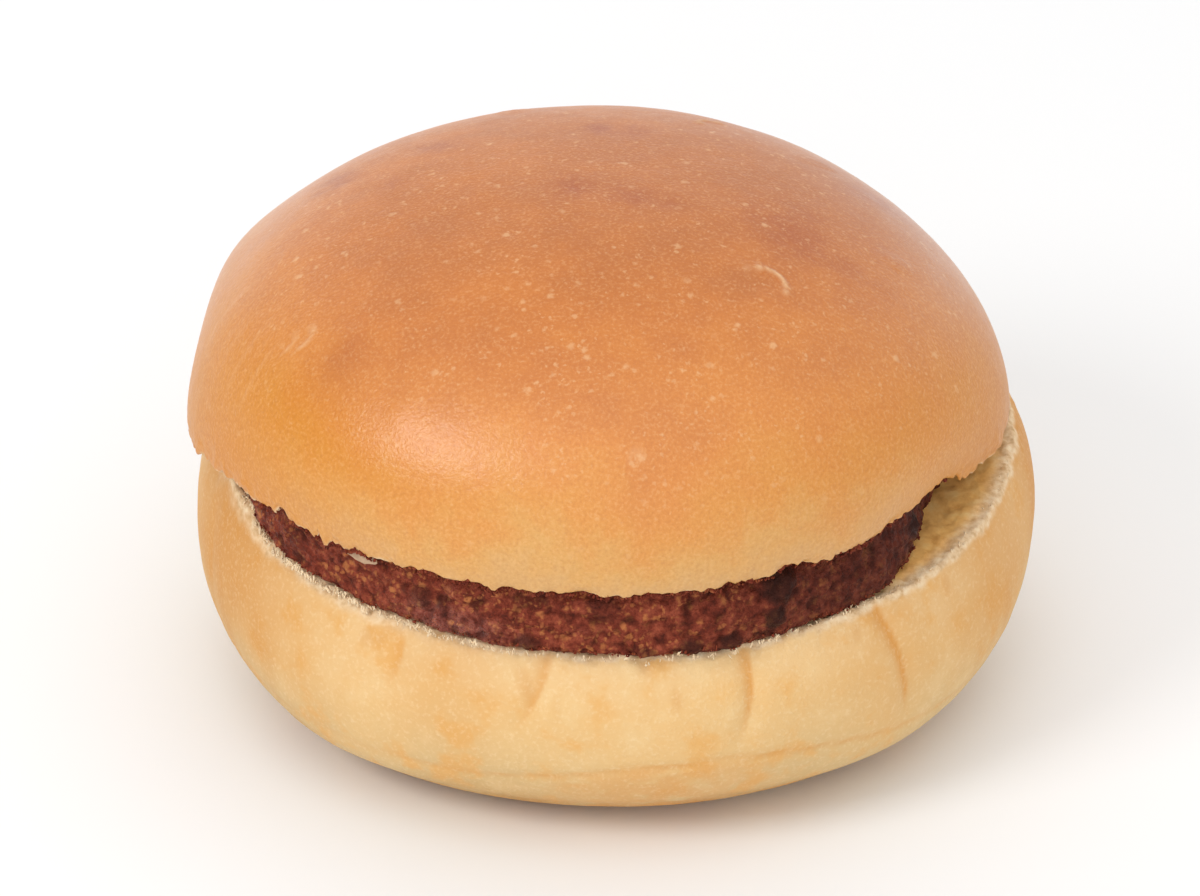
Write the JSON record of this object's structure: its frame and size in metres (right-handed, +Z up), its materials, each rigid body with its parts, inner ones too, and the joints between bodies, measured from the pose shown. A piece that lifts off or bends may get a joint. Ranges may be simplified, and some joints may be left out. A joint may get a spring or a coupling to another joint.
{
  "type": "hamburger",
  "caption": "Plain hamburger: a thin grilled meat patty between the two halves of a soft round golden roll, its open side slightly apart at the front.",
  "frame": {"origin": "on the table, under the middle of the roll", "axes": "+Z up through the roll, -Y towards the open side where the patty shows, +X to the right as seen from there"},
  "size_m": [0.1003, 0.0986, 0.0644],
  "materials": {
    "pale_crust": "soft pale bread crust, matt",
    "grilled_meat": "dark grilled minced meat, slightly greasy",
    "golden_crust": "smooth golden-brown bread crust with a soft sheen"
  },
  "bodies": {
    "root": {"bun_heel": "pale_crust", "patty": "grilled_meat", "bun_crown": "golden_crust"}
  },
  "joints": []
}
